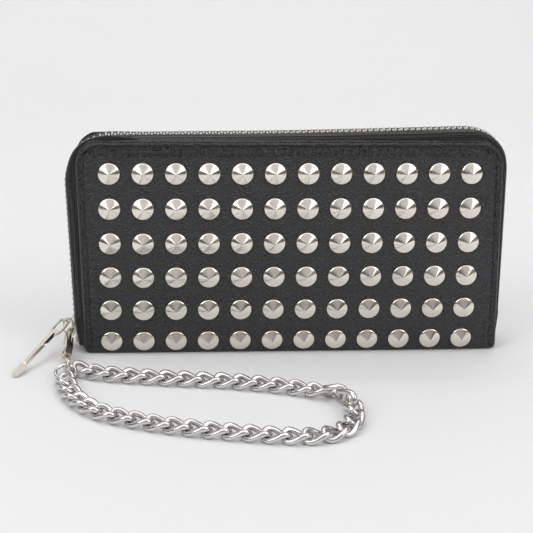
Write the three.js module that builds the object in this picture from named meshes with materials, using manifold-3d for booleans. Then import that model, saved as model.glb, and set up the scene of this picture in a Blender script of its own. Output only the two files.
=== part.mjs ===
// A zip-around chain wallet: two bulging leather covers joined by a spine, a studded front, card pockets,
// a zipped coin pocket between the covers, and a curb chain clipped to the zip slider.
// Millimetres. +X runs along the spine, +Y from the studded cover to the plain one, +Z up from the spine.
// The origin is the middle of the spine's flat underside. Parts of the plain half are mirrored from the
// studded half, so every shared shape is written once, for negative Y.
import * as THREE from "three";
import { mergeVertices } from "three/addons/utils/BufferGeometryUtils.js";
import Module from "manifold-3d";

const wasm = await Module();
wasm.setup();

// Driving dimensions
const GAP = 0.3; // left between neighbours that touch on the real object
const HALF_WIDTH = 97.9; // cover, from its middle to its side edge
const HEIGHT = 102.3; // cover, floor to top edge
const TOP_CORNER = 12; // radius of a cover's top corners
const BOTTOM_CORNER = 3; // radius of a cover's bottom corners
const EDGE_DEPTH = 10; // centre plane to the outer face at a cover's edge
const BULGE = 4.16; // how far the padding pushes the middle of a cover out
const BULGE_SKEW = 0.72; // below 1 puts the fullest height under the middle
const LEAN = -0.028; // sideways lean of the side edges, per mm of height
const LEATHER = 1.2; // cover leather
const STUD_COLUMNS = 12;
const STUD_ROWS = 6;
const STUD_PITCH_X = 14.98;
const STUD_GRID_X = -1; // middle of the stud grid
const STUD_HEIGHTS = [7, 23, 39.15, 55.3, 71.4, 87.5];
const STUD_RADIUS = 5;
const STUD_RIM = 0.7;
const STUD_RISE = 2.9; // rim and cone together
const SHANK = 2.4; // side of the square shank behind a stud
const POCKET_HALF_WIDTH = 86;
const POCKET_TOPS = [55, 66, 77, 88]; // card pockets, from the innermost layer out
const SLIDER_Z = 10.5; // middle of the slider's body at rest
const ZIP_SLOPE = -0.0388; // sideways run of the left stretch of zip, per mm of height
const TEETH_X = -99.5; // left stretch of zip, where it would meet the floor
const TEETH_REACH = 1.2; // half the height of a tooth
const CHAIN_WIDTH = 9.4;
const CHAIN_THICKNESS = 5.2;

// Layers, as distances from the centre plane to each one's outer and inner face
const FOAM_SKIN = 2.4; // depth under the cover's outer face at which the padding starts
const FOAM_INNER = 7.1;
const PADDING_INSET = 3.4; // cover's outline to the padding's
const BOARD = [6.8, 6.3];
const LINING = [6.0, 5.6];
const POCKET_LAYERS = [
  [3.2, 2.8],
  [3.9, 3.5],
  [4.6, 4.2],
  [5.3, 4.9],
];
const COIN_PANEL = [2.5, 2.0];

// Finishes
const finish = (color, roughness, metalness) =>
  new THREE.MeshStandardMaterial({ color, roughness, metalness });
const leather = finish(0x2e2e31, 0.55, 0);
const pocketLeather = finish(0x29292c, 0.6, 0);
const cloth = finish(0x1c1c1e, 0.9, 0);
const board = finish(0x6b655c, 0.95, 0);
const foam = finish(0x3b3b3d, 1, 0);
const nickel = finish(0xcfcbc2, 0.18, 1);
const zipMetal = finish(0xb9b7b0, 0.3, 1);

const wallet = new THREE.Group();
const frontHalf = new THREE.Group();
const backHalf = new THREE.Group();
backHalf.scale.y = -1;
wallet.add(frontHalf, backHalf);

function part(name, material, geometry, parent) {
  const mesh = new THREE.Mesh(geometry, material.clone());
  mesh.name = name;
  parent.add(mesh);
  return mesh;
}

// Shape helpers

// Moves each vertex of a geometry to the place that a rule gives it.
function reshape(geometry, rule) {
  const place = geometry.attributes.position;
  const point = new THREE.Vector3();
  for (let i = 0; i < place.count; i++) {
    point.fromBufferAttribute(place, i);
    rule(point);
    place.setXYZ(i, point.x, point.y, point.z);
  }
  return geometry;
}

function toSolid(geometry) {
  const bare = geometry.clone();
  bare.deleteAttribute("normal");
  bare.deleteAttribute("uv");
  const merged = mergeVertices(bare, 1e-4);
  return new wasm.Manifold(
    new wasm.Mesh({
      numProp: 3,
      vertProperties: merged.attributes.position.array,
      triVerts: new Uint32Array(merged.index.array),
    }),
  );
}

function toGeometry(solid) {
  const mesh = solid.getMesh();
  const geometry = new THREE.BufferGeometry();
  geometry.setAttribute("position", new THREE.BufferAttribute(mesh.vertProperties, 3));
  geometry.setIndex(new THREE.BufferAttribute(mesh.triVerts, 1));
  geometry.computeVertexNormals();
  return geometry;
}

// Joins the geometries in the first list and takes those in the second away.
function carve(joined, removed = []) {
  let solid = toSolid(joined[0]);
  for (const geometry of joined.slice(1)) solid = solid.add(toSolid(geometry));
  for (const geometry of removed) solid = solid.subtract(toSolid(geometry));
  return toGeometry(solid);
}

// A box from its lowest to its highest corner.
function block(low, high) {
  const size = high.map((value, i) => value - low[i]);
  const middle = high.map((value, i) => (value + low[i]) / 2);
  return new THREE.BoxGeometry(...size).translate(...middle);
}

// A flat sheet standing in the XZ plane between two distances in front of the centre plane.
function plate(halfWidth, bottom, top, corner, [outer, inner]) {
  const outline = new THREE.Shape();
  outline.moveTo(-halfWidth, bottom);
  outline.lineTo(halfWidth, bottom);
  outline.lineTo(halfWidth, top - corner);
  outline.absarc(halfWidth - corner, top - corner, corner, 0, Math.PI / 2);
  outline.lineTo(corner - halfWidth, top);
  outline.absarc(corner - halfWidth, top - corner, corner, Math.PI / 2, Math.PI);
  const sheet = new THREE.ExtrudeGeometry(outline, {
    depth: outer - inner,
    bevelEnabled: false,
    curveSegments: 4,
  });
  return sheet.rotateX(Math.PI / 2).translate(0, -inner, 0);
}

// A straight-sided outline in local XY, extruded along local Z about its middle.
function slab(points, thickness, holes = []) {
  const outline = new THREE.Shape(points.map(([x, y]) => new THREE.Vector2(x, y)));
  for (const hole of holes) {
    outline.holes.push(new THREE.Path(hole.map(([x, y]) => new THREE.Vector2(x, y))));
  }
  const geometry = new THREE.ExtrudeGeometry(outline, { depth: thickness, bevelEnabled: false });
  return geometry.translate(0, 0, -thickness / 2);
}

function wire(points, radius, steps) {
  const path = new THREE.CatmullRomCurve3(points.map((p) => new THREE.Vector3(...p)));
  const section = new THREE.Shape().absarc(0, 0, radius, 0, 2 * Math.PI);
  return new THREE.ExtrudeGeometry(section, {
    steps,
    curveSegments: 4, // a closed round section gets twice as many sides
    extrudePath: path,
  });
}

// The cover's form

const leanAt = (z) => LEAN * (z - HEIGHT / 2);

function halfWidthAt(z) {
  const aboveArc = z - (HEIGHT - TOP_CORNER);
  const belowArc = BOTTOM_CORNER - z;
  if (aboveArc > 0) {
    return HALF_WIDTH - TOP_CORNER + Math.sqrt(Math.max(TOP_CORNER ** 2 - aboveArc ** 2, 0));
  }
  if (belowArc > 0) {
    return HALF_WIDTH - BOTTOM_CORNER + Math.sqrt(Math.max(BOTTOM_CORNER ** 2 - belowArc ** 2, 0));
  }
  return HALF_WIDTH;
}

// Depth of the cover's outer face in front of the centre plane.
function faceAt(x, z) {
  const rise = Math.sin(Math.PI * Math.pow(THREE.MathUtils.clamp(z / HEIGHT, 0, 1), BULGE_SKEW));
  const across = Math.min(Math.abs(x - leanAt(z)) / HALF_WIDTH, 1);
  return EDGE_DEPTH + BULGE * rise * (1 - across ** 12);
}

// A sheet or pad that follows the cover's outline, with a rule for the depth of each face.
function pillow(inset, columns, rows, outerAt, innerAt) {
  const box = new THREE.BoxGeometry(2, 1, 1, columns, 1, rows);
  return reshape(box, (p) => {
    const climb = (1 - Math.cos((p.z + 0.5) * Math.PI)) / 2;
    const z = inset + (HEIGHT - 2 * inset) * climb;
    const x = Math.sin((p.x * Math.PI) / 2) * (halfWidthAt(z) - inset) + leanAt(z);
    p.set(x, -(p.y < 0 ? outerAt(x, z) : innerAt(x, z)), z);
  });
}

const coverSheet = () => pillow(0, 14, 18, faceAt, (x, z) => faceAt(x, z) - LEATHER);

// Studs

// Each stud's place on the cover, with its axis square to the leather.
function studPlaces(row) {
  const z = STUD_HEIGHTS[row];
  return Array.from({ length: STUD_COLUMNS }, (_, column) => {
    const x = STUD_GRID_X + (column - (STUD_COLUMNS - 1) / 2) * STUD_PITCH_X;
    const slope = (faceAt(x, z + 1) - faceAt(x, z - 1)) / 2;
    const turn = new THREE.Matrix4().makeRotationX(Math.PI / 2 + Math.atan(slope));
    return turn.setPosition(x, -faceAt(x, z), z);
  });
}

function studCone() {
  const profile = [
    [0, GAP],
    [STUD_RADIUS, GAP],
    [STUD_RADIUS, STUD_RIM],
    [0, STUD_RISE],
  ].map(([r, h]) => new THREE.Vector2(r, h));
  return new THREE.LatheGeometry(profile, 8).rotateX(Math.PI / 2);
}

function studRow(row) {
  const shankEnd = LEATHER + 0.55;
  const shank = block([-SHANK / 2, -SHANK / 2, -shankEnd], [SHANK / 2, SHANK / 2, 0.5]);
  const stud = toSolid(studCone()).add(toSolid(shank));
  const z = STUD_HEIGHTS[row];
  const reach = ((STUD_COLUMNS - 1) / 2) * STUD_PITCH_X + 3;
  // The row's reinforcing tape lies between the leather and the padding.
  const tape = reshape(new THREE.BoxGeometry(2 * reach, 1, 3, STUD_COLUMNS, 1, 1), (p) => {
    const x = p.x + STUD_GRID_X;
    const depth = faceAt(x, z + p.z) - LEATHER - GAP - (p.y > 0 ? 0.5 : 0);
    p.set(x, -depth, z + p.z);
  });
  let solid = toSolid(tape);
  for (const place of studPlaces(row)) solid = solid.add(stud.transform(place.elements));
  return toGeometry(solid);
}

function studdedCover() {
  const side = SHANK / 2 + GAP;
  const hole = toSolid(block([-side, -side, -4], [side, side, 4]));
  let solid = toSolid(coverSheet());
  for (let row = 0; row < STUD_ROWS; row++) {
    for (const place of studPlaces(row)) solid = solid.subtract(hole.transform(place.elements));
  }
  return toGeometry(solid);
}

// Zip round the edge: both lines are drawn in the XZ plane, from the left foot over the top to the right.

const teethLine = new THREE.Path();
teethLine.moveTo(TEETH_X + ZIP_SLOPE * 15.5, 15.5);
teethLine.lineTo(TEETH_X + ZIP_SLOPE * 80, 80);
teethLine.quadraticCurveTo(-103.4, 102.2, -83, 102.5);
teethLine.splineThru([new THREE.Vector2(-1, 103.4), new THREE.Vector2(78, 105.4)]);
teethLine.quadraticCurveTo(97.6, 105.8, 97.6, 86);
teethLine.splineThru([new THREE.Vector2(97.9, 60), new THREE.Vector2(98, 17)]);

const TAPE_INSET = 0.9;
const edgeReach = HALF_WIDTH - TAPE_INSET;
const edgeTop = HEIGHT - TAPE_INSET;
const edgeLine = new THREE.Path();
edgeLine.moveTo(leanAt(15.5) - edgeReach, 15.5);
edgeLine.lineTo(leanAt(edgeTop - TOP_CORNER) - edgeReach, edgeTop - TOP_CORNER);
edgeLine.quadraticCurveTo(leanAt(edgeTop) - edgeReach, edgeTop, TOP_CORNER - edgeReach, edgeTop);
edgeLine.lineTo(edgeReach - TOP_CORNER - 3, edgeTop);
edgeLine.quadraticCurveTo(
  leanAt(edgeTop) + edgeReach,
  edgeTop,
  leanAt(edgeTop - TOP_CORNER) + edgeReach,
  edgeTop - TOP_CORNER,
);
edgeLine.lineTo(leanAt(17) + edgeReach, 17);

const ZIP_STEPS = 32;

// A band along the zip. Each station across it says how far to blend from the cover's edge to the teeth
// and how far in front of the centre plane it lies.
function zipBand(stations, halfThickness) {
  const across = stations.length - 1;
  return reshape(new THREE.BoxGeometry(1, across, 1, ZIP_STEPS, across, 1), (p) => {
    const t = p.x + 0.5;
    const [mix, depth] = stations[Math.round(p.y + across / 2)];
    const at = edgeLine.getPointAt(t).lerp(teethLine.getPointAt(t), mix);
    const along = teethLine.getTangentAt(t);
    const out = 2 * p.z * halfThickness;
    p.set(at.x - along.y * out, -depth, at.y + along.x * out);
  });
}

function zipTape() {
  const band = zipBand(
    [
      [0, 8.5],
      [0.55, 6.9],
      [1, 5],
      [1, 2.55],
    ],
    0.35,
  );
  // Both ends of the tape run on down to the spine, clear of the slider.
  const leftEnd = block([-99, -7.4, 3], [-98.3, -5.7, 16.5]);
  const rightEnd = block([97.4, -7.4, 3], [98.1, -5.7, 18]);
  return carve([band, leftEnd, rightEnd]);
}

const zipTeeth = () =>
  zipBand(
    [
      [1, 2.25],
      [1, 0.65],
    ],
    TEETH_REACH,
  );

// Half of one side gusset: a cloth strip folded inwards between a cover's lining and the coin pocket.
function gusset() {
  const fold = [
    [-95.5, -5.5],
    [-88, -4.5],
    [-88, -3.9],
    [-95.5, -2.9],
    [-95.5, -3.4],
    [-89.6, -4.2],
    [-95.5, -5],
  ];
  const outline = new THREE.Shape(fold.map(([x, y]) => new THREE.Vector2(x, y)));
  const strip = new THREE.ExtrudeGeometry(outline, { depth: 82, bevelEnabled: false });
  return strip.translate(0, 0, 6);
}

// Covers, linings and pockets of both halves

function addHalf(side, parent, cover) {
  part(`${side}_cover`, leather, cover, parent);
  const padding = pillow(
    PADDING_INSET,
    10,
    10,
    (x, z) => faceAt(x, z) - FOAM_SKIN,
    () => FOAM_INNER,
  );
  part(`${side}_padding`, foam, padding, parent);
  part(`${side}_stiffener_board`, board, plate(92, 2.6, 98, 8, BOARD), parent);
  part(`${side}_lining`, cloth, plate(92, 2.6, 98, 8, LINING), parent);
  POCKET_LAYERS.forEach((layer, i) => {
    const pocket = plate(POCKET_HALF_WIDTH, 5, POCKET_TOPS[i], 3, layer);
    part(`${side}_card_pocket_${i + 1}`, pocketLeather, pocket, parent);
  });
  part(`zip_tape_${side}`, cloth, zipTape(), parent);
  part(`zip_teeth_${side}`, zipMetal, zipTeeth(), parent);
  part(`left_gusset_${side}`, cloth, gusset(), parent);
  const right = part(`right_gusset_${side}`, cloth, gusset(), parent);
  right.scale.x = -1;
}

addHalf("front", frontHalf, studdedCover());
addHalf("back", backHalf, coverSheet());
for (let row = 0; row < STUD_ROWS; row++) {
  part(`stud_row_${row + 1}`, nickel, studRow(row), frontHalf);
}

// Spine and zip ends

part("spine_leather", leather, block([-94, -8.2, 0], [94, 8.5, LEATHER]), wallet);
part("spine_board", board, block([-90, -6.8, 1.5], [90, 6.8, 2.2]), wallet);
part("zip_top_stop", zipMetal, block([-100.6, -2.2, 2.6], [-98.4, 2.2, 5.4]), wallet);
part("zip_end_tab", leather, block([96.8, -3.2, 4], [99.2, 3.2, 16.4]), wallet);

// Coin pocket: two leather faces over a folded cloth bag, closed by its own small zip

function coinBag() {
  const outer = 1.7;
  const inner = 1.3;
  return carve(
    [block([-84, -outer, 4.2], [84, outer, 91])],
    [block([-85, -inner, 4.8], [85, inner, 92])],
  );
}

const coinPocket = new THREE.Group();
wallet.add(coinPocket);
part("coin_pocket_bag", cloth, coinBag(), coinPocket);
part("coin_pocket_front", pocketLeather, plate(POCKET_HALF_WIDTH, 4, 92, 2, COIN_PANEL), coinPocket);
const coinBack = plate(POCKET_HALF_WIDTH, 4, 92, 2, COIN_PANEL);
part("coin_pocket_back", pocketLeather, coinBack, coinPocket).scale.y = -1;
part("coin_zip_tape", cloth, block([-84, -2.5, 92.3], [84, 2.5, 93.2]), coinPocket);
part("coin_zip_teeth", zipMetal, block([-82, -1.2, 93.5], [82, 1.2, 95.5]), coinPocket);
part("coin_zip_left_stop", zipMetal, block([-84, -1.4, 93.5], [-82.3, 1.4, 95.7]), coinPocket);
part("coin_zip_right_stop", zipMetal, block([82.3, -1.4, 93.5], [84, 1.4, 95.7]), coinPocket);

const COIN_SLIDER_X = -76;
const coinSlider = new THREE.Group();
coinSlider.position.set(COIN_SLIDER_X, 0, 95.8);
coinPocket.add(coinSlider);

// Top plate, two flanges beside the teeth, and a bail whose opening runs along the teeth.
function coinSliderBody() {
  return carve(
    [
      block([-3.6, -2.4, 0], [3.6, 2.4, 0.7]),
      block([-3.6, -2.4, -2], [3.6, -1.6, 0.1]),
      block([-3.6, 1.6, -2], [3.6, 2.4, 0.1]),
      block([-2.2, -0.6, 0.5], [2.2, 0.6, 3]),
    ],
    [block([-1.4, -1, 0.7], [1.4, 1, 2.3])],
  );
}

part("coin_zip_slider", zipMetal, coinSliderBody(), coinSlider);

// A short flat tab: its end bar sits in the bail and the rest hangs in front of the slider.
function coinPull() {
  return carve(
    [
      block([-0.5, -3.6, 1.1], [0.5, 3.6, 1.9]),
      block([-0.5, -3.6, -12], [0.5, -2.9, 1.9]),
      block([-2, -3.6, -16], [2, -2.9, -5]),
    ],
    [block([-1, -4, -14.6], [1, -2, -12.4])],
  );
}

part("coin_zip_pull", zipMetal, coinPull(), coinSlider);

// Slider of the main zip. In its own frame the teeth run along Z and -X points out of the wallet.

const slider = new THREE.Group();
slider.position.set(TEETH_X + ZIP_SLOPE * SLIDER_Z, 0, SLIDER_Z);
slider.rotation.y = Math.atan(ZIP_SLOPE);
wallet.add(slider);

const PLATE_INNER = TEETH_REACH + GAP; // teeth line to the inside of a slider plate
const PLATE_OUTER = PLATE_INNER + 0.7;
const BAIL_REACH = 4.4; // how far the bail stands out of the slider's plate

function sliderPlate(x) {
  const outline = [
    [-3.2, -4],
    [3.2, -4],
    [4.1, -3],
    [4.1, 0.5],
    [3.2, 4],
    [-3.2, 4],
    [-4.1, 0.5],
    [-4.1, -3],
  ];
  const sheet = slab(outline, PLATE_OUTER - PLATE_INNER);
  // Local XY of the outline becomes YZ of the slider.
  return sheet.rotateX(Math.PI / 2).rotateZ(Math.PI / 2).translate(x, 0, 0);
}

function sliderBody() {
  const middle = (PLATE_INNER + PLATE_OUTER) / 2;
  const bailFoot = -PLATE_OUTER + 0.2;
  const bailTop = -PLATE_OUTER - BAIL_REACH;
  const bail = slab(
    [
      [bailFoot, -3.9],
      [bailTop + 1.2, -3.9],
      [bailTop, -2.8],
      [bailTop, 2.8],
      [bailTop + 1.2, 3.9],
      [bailFoot, 3.9],
      [bailFoot, 3],
      [bailTop + 1.4, 3],
      [bailTop + 0.9, 2.5],
      [bailTop + 0.9, -2.5],
      [bailTop + 1.4, -3],
      [bailFoot, -3],
    ].reverse(),
    1.2,
  ).rotateX(Math.PI / 2);
  const pieces = [sliderPlate(-middle), sliderPlate(middle), bail];
  pieces.push(block([-PLATE_INNER - 0.1, -0.3, -3.9], [PLATE_INNER + 0.1, 0.3, -1.9]));
  for (const side of [-1, 1]) {
    for (const face of [-1, 1]) {
      const xs = [face * (PLATE_INNER + 0.1), face * 0.75].sort((a, b) => a - b);
      const ys = [side * 3.3, side * 4.05].sort((a, b) => a - b);
      pieces.push(block([xs[0], ys[0], -3], [xs[1], ys[1], 0.4]));
    }
  }
  return carve(pieces);
}

part("zip_slider", nickel, sliderBody(), slider);

// Pull tab: a window frame round the slider's bail, a tapering ridged bar and a flat round tip.
// In its own frame Y runs down the tab, X across it and Z out of its upper face.

const PULL_PIVOT = new THREE.Vector3(-106.15, 0, 12); // on the bail's outer bar
const PULL_TIP = new THREE.Vector3(-126.4, -37, 1);
const PULL_THICKNESS = 1;

// Turns a group so that its Y axis runs towards a point and its X axis is as near as can be to a direction.
function aim(group, from, towards, across) {
  const y = towards.clone().sub(from).normalize();
  const z = across.clone().cross(y).normalize();
  const x = y.clone().cross(z);
  group.position.copy(from);
  group.quaternion.setFromRotationMatrix(new THREE.Matrix4().makeBasis(x, y, z));
}

const pull = new THREE.Group();
const level = new THREE.Vector3(PULL_TIP.y, PULL_PIVOT.x - PULL_TIP.x, 0);
aim(pull, PULL_PIVOT, PULL_TIP, level);
wallet.add(pull);

function pullTab() {
  const length = PULL_PIVOT.distanceTo(PULL_TIP);
  const outline = [
    [-2.8, -2.1],
    [2.8, -2.1],
    [2.9, 8],
    [1.3, 11.5],
    [1, length - 10],
    [1.8, length - 8],
    [1.8, length - 2],
    [1.2, length - 0.4],
    [0, length],
    [-1.2, length - 0.4],
    [-1.8, length - 2],
    [-1.8, length - 8],
    [-1, length - 10],
    [-1.3, 11.5],
    [-2.9, 8],
  ];
  const opening = [
    [-2, -1.2],
    [2, -1.2],
    [2.1, 6.8],
    [-2.1, 6.8],
  ];
  const flat = slab(outline, PULL_THICKNESS, [opening]);
  const ridge = slab(
    [
      [-1, 10],
      [1, 10],
      [0.8, length - 9.5],
      [-0.8, length - 9.5],
    ],
    1.6,
  ).translate(0, 0, 0.5);
  return carve([flat, ridge]);
}

part("pull_tab", nickel, pullTab(), pull);

// Trigger clasp. In its own frame Y runs from the hook down to the swivel eye, X across the hook's plane
// and Z square to it.

const CLASP_TOP = new THREE.Vector3(-104.4, 2.6, 6.9);
const EYE_CENTRE = new THREE.Vector3(-103.2, -32.5, 4.3);
const clasp = new THREE.Group();
aim(clasp, CLASP_TOP, EYE_CENTRE, new THREE.Vector3(0.42, 0, 0.91));
wallet.add(clasp);

const HOOK_WIRE = 0.8; // radius
const GATE_PIVOT = [2.1, 14.6];
const CHEEK_GAP = 0.9; // clasp centre plane to the inside of a cheek
const BODY_HALF = 1.6; // half the clasp body's thickness
const WINDOW = [21.6, 25]; // opening in the body that holds the swivel's head
const BODY_END = 27;

function pivotPin(radius, halfLength) {
  const pin = new THREE.CylinderGeometry(radius, radius, 2 * halfLength, 10);
  return pin.rotateX(Math.PI / 2).translate(GATE_PIVOT[0], GATE_PIVOT[1], 0);
}

function claspBody() {
  const hook = wire(
    [
      [-2.3, 19, 0],
      [-3, 13, 0],
      [-3.15, 6, 0],
      [-2.3, 2.4, 0],
      [0, 0.9, 0],
      [2.2, 2.1, 0],
      [2.95, 4.6, 0],
    ],
    HOOK_WIRE,
    18,
  );
  const outline = [
    [-3.3, 17],
    [3.3, 17],
    [3.3, 22],
    [1.9, BODY_END],
    [-1.9, BODY_END],
    [-3.3, 22],
  ];
  const cheek = [
    [0.7, 12.9],
    [3.4, 12.9],
    [3.4, 18],
    [0.7, 18],
  ];
  const cheekThickness = BODY_HALF - CHEEK_GAP;
  const cheekMiddle = (BODY_HALF + CHEEK_GAP) / 2;
  const joined = [slab(outline, 2 * BODY_HALF), hook];
  for (const face of [-1, 1]) joined.push(slab(cheek, cheekThickness).translate(0, 0, face * cheekMiddle));
  const bore = new THREE.CylinderGeometry(1, 1, 4, 12).translate(0, 26, 0);
  return carve(joined, [
    block([-1.9, WINDOW[0], -3], [1.9, WINDOW[1], 3]),
    bore,
    pivotPin(0.75, 3),
  ]);
}

// The gate closes the hook; the thumb knob near its tip opens it inwards.
function claspGate() {
  const outline = [
    [1, 15.6],
    [1, 13.6],
    [2.2, 6],
    [3.6, 6],
    [3.3, 13.4],
    [3.2, 15.6],
  ];
  const knob = new THREE.CylinderGeometry(0.9, 1.1, 1.8, 10).rotateZ(-Math.PI / 2).translate(4.2, 7.6, 0);
  return carve([slab(outline, 1.2), knob], [pivotPin(0.75, 3)]);
}

part("clasp_body", nickel, claspBody(), clasp);
part("clasp_gate", nickel, claspGate(), clasp);
part("clasp_pivot_pin", nickel, pivotPin(0.45, BODY_HALF), clasp);
part("clasp_spring", zipMetal, block([1.2, 16.2, -0.5], [2.9, 16.7, 0.5]), clasp);

// The swivel's round head turns in the body's window; its shank ends in a small eye in the hook's plane.
const EYE_REACH = 2.6; // centre of the eye to the middle of its wire
const EYE_WIRE = 0.7;

function swivelEye() {
  const eyeY = CLASP_TOP.distanceTo(EYE_CENTRE);
  const profile = [
    [0, 22.1],
    [1.1, 22.3],
    [1.5, 23.3],
    [1.3, 24.3],
    [0.65, 24.7],
    [0.65, eyeY - EYE_REACH],
    [0, eyeY - EYE_REACH],
  ].map(([r, y]) => new THREE.Vector2(r, y));
  const ring = new THREE.TorusGeometry(EYE_REACH, EYE_WIRE, 8, 20).translate(0, eyeY, 0);
  return carve([new THREE.LatheGeometry(profile, 10), ring]);
}

part("swivel_eye", nickel, swivelEye(), clasp);

// A plain ring through the eye, tipped onto the floor; both ends of the chain close on it.
const RING_CENTRE = [-103.2, -37.6, 2.78];
const RING_TILT = 0.36; // radians below level
const chainRing = new THREE.TorusGeometry(4.6, 0.85, 8, 24);
const ringMesh = part("chain_ring", nickel, chainRing, wallet);
ringMesh.rotation.x = RING_TILT;
ringMesh.position.set(...RING_CENTRE);

// Wrist chain: the outer form of a closed loop of curb links lying on the floor, both ends at the ring.

const CHAIN_Z = CHAIN_THICKNESS / 2;
const CHAIN_ROUTE = [
  [-95.2, -35],
  [-88, -38.8],
  [-70, -43.2],
  [-46, -47.2],
  [-31, -49.4],
  [-8, -55.4],
  [6, -61],
  [15.5, -67],
  [20.2, -76],
  [20.6, -86],
  [17.8, -95.5],
  [11, -102.6],
  [3, -105.4],
  [-7, -105.4],
  [-24, -102.4],
  [-46, -97.2],
  [-62, -92],
  [-76, -85.8],
  [-86, -79.8],
  [-93.5, -71.8],
  [-99.4, -61],
  [-102.2, -50.5],
  [-103.1, -43.4],
];

function chainTube() {
  const path = new THREE.CatmullRomCurve3(
    CHAIN_ROUTE.map(([x, y]) => new THREE.Vector3(x, y, CHAIN_Z)),
    false,
    "centripetal",
  );
  const section = new THREE.Shape().absellipse(
    0,
    0,
    CHAIN_THICKNESS / 2,
    CHAIN_WIDTH / 2,
    0,
    2 * Math.PI,
  );
  return new THREE.ExtrudeGeometry(section, { steps: 60, curveSegments: 4, extrudePath: path });
}

part("wrist_chain", nickel, chainTube(), wallet);

export default wallet;
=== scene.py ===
"""A studded zip-around chain wallet: leather, stitching, zip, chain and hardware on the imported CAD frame.

Shapes are worked out in millimetres, as the part's own source is, and Form.piece turns them into metres.
"""

import math

import bmesh
import bpy
import numpy as np
from mathutils import Matrix, Vector


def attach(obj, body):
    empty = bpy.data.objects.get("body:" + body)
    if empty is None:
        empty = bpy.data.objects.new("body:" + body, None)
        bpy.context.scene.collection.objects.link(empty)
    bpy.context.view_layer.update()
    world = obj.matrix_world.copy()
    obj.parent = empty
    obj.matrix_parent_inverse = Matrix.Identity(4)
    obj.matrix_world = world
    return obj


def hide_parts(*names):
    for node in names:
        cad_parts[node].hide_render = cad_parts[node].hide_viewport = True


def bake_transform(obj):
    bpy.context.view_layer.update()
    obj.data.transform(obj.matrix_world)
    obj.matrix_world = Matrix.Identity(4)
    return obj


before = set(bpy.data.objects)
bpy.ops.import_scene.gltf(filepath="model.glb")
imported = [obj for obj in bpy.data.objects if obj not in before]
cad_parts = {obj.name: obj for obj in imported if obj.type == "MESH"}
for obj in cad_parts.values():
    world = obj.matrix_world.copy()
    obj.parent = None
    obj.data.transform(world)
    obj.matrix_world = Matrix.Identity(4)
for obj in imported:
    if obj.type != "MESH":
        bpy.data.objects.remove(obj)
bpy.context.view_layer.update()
scene = bpy.context.scene

MM = 0.001

# The part's own driving dimensions, in millimetres
HALF_WIDTH = 97.9
HEIGHT = 102.3
TOP_CORNER = 12
BOTTOM_CORNER = 3
EDGE_DEPTH = 10
BULGE = 4.16
BULGE_SKEW = 0.72
LEAN = -0.028
LEATHER = 1.2
STUD_COLUMNS = 12
STUD_PITCH = 14.98
STUD_GRID_X = -1
STUD_HEIGHTS = [7, 23, 39.15, 55.3, 71.4, 87.5]
STUD_RISE = 2.9
POCKET_HALF_WIDTH = 86
POCKET_TOPS = [55, 66, 77, 88]
POCKET_LAYERS = [(3.2, 2.8), (3.9, 3.5), (4.6, 4.2), (5.3, 4.9)]
COIN_PANEL = (2.5, 2.0)
LINING = (6.0, 5.6)
ZIP_SLOPE = -0.0388
TEETH_X = -99.5
RING_CENTRE = np.array((-103.2, -37.6, 2.78))
RING_TILT = 0.36
RING_RADIUS = 4.6
RING_WIRE = 0.8

# The wrist chain's route on the floor, from the ring round to the ring again
CHAIN_ROUTE = [
    (-95.2, -35), (-88, -38.8), (-70, -43.2), (-46, -47.2), (-31, -49.4), (-8, -55.4),
    (6, -61), (15.5, -67), (20.2, -76), (20.6, -86), (17.8, -95.5), (11, -102.6),
    (3, -105.4), (-7, -105.4), (-24, -102.4), (-46, -97.2), (-62, -92), (-76, -85.8),
    (-86, -79.8), (-93.5, -71.8), (-99.4, -61), (-102.2, -50.5), (-103.1, -43.4),
]


# Camera

def make_camera():
    data = bpy.data.cameras.new("camera")
    data.lens = 94.73
    data.sensor_width = 36
    data.clip_start = 0.01
    camera = bpy.data.objects.new("camera", data)
    right = Vector((0.996887, -0.076337, 0.019727))
    down = Vector((-0.006629, -0.330452, -0.943794))
    forward = Vector((0.078565, 0.940724, -0.329930))
    place = Vector((-0.06264, -0.62039, 0.25678))
    turn = Matrix((right, -down, -forward)).transposed().to_4x4()
    camera.matrix_world = Matrix.Translation(place) @ turn
    scene.collection.objects.link(camera)
    scene.camera = camera


make_camera()


# Mesh helpers

class Form:
    """Points in millimetres and faces, gathered into one piece."""

    def __init__(self):
        self.points = []
        self.faces = []
        self.count = 0

    def add(self, points, faces):
        points = np.asarray(points, float)
        self.faces += [tuple(i + self.count for i in face) for face in faces]
        self.points.append(points)
        self.count += len(points)
        return self

    def piece(self, name, material):
        points = np.concatenate(self.points) * MM
        mesh = bpy.data.meshes.new(name)
        mesh.from_pydata(points.tolist(), [], self.faces)
        mesh.polygons.foreach_set("use_smooth", [True] * len(mesh.polygons))
        mesh.materials.append(material)
        mesh.update()
        piece = bpy.data.objects.new(name, mesh)
        scene.collection.objects.link(piece)
        return piece


def quads(rows, columns, wrap_rows=False, wrap_columns=False):
    """Faces of a grid of points, counted along the columns first."""
    faces = []
    for i in range(rows if wrap_rows else rows - 1):
        for j in range(columns if wrap_columns else columns - 1):
            below = (i + 1) % rows * columns
            beside = (j + 1) % columns
            faces.append((i * columns + j, i * columns + beside, below + beside, below + j))
    return faces


def tube_faces(rings, sides):
    """Faces of a row of closed rings, with a cap on each end."""
    last = (rings - 1) * sides
    caps = [tuple(range(sides))[::-1], tuple(last + i for i in range(sides))]
    return quads(rings, sides, False, True) + caps


def border_of(rows, columns):
    """Numbers of the points round the border of a grid, in order."""
    ring = list(range(columns)) + [i * columns + columns - 1 for i in range(1, rows)]
    ring += [(rows - 1) * columns + j for j in range(columns - 2, -1, -1)]
    return ring + [i * columns for i in range(rows - 2, 0, -1)]


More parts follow.
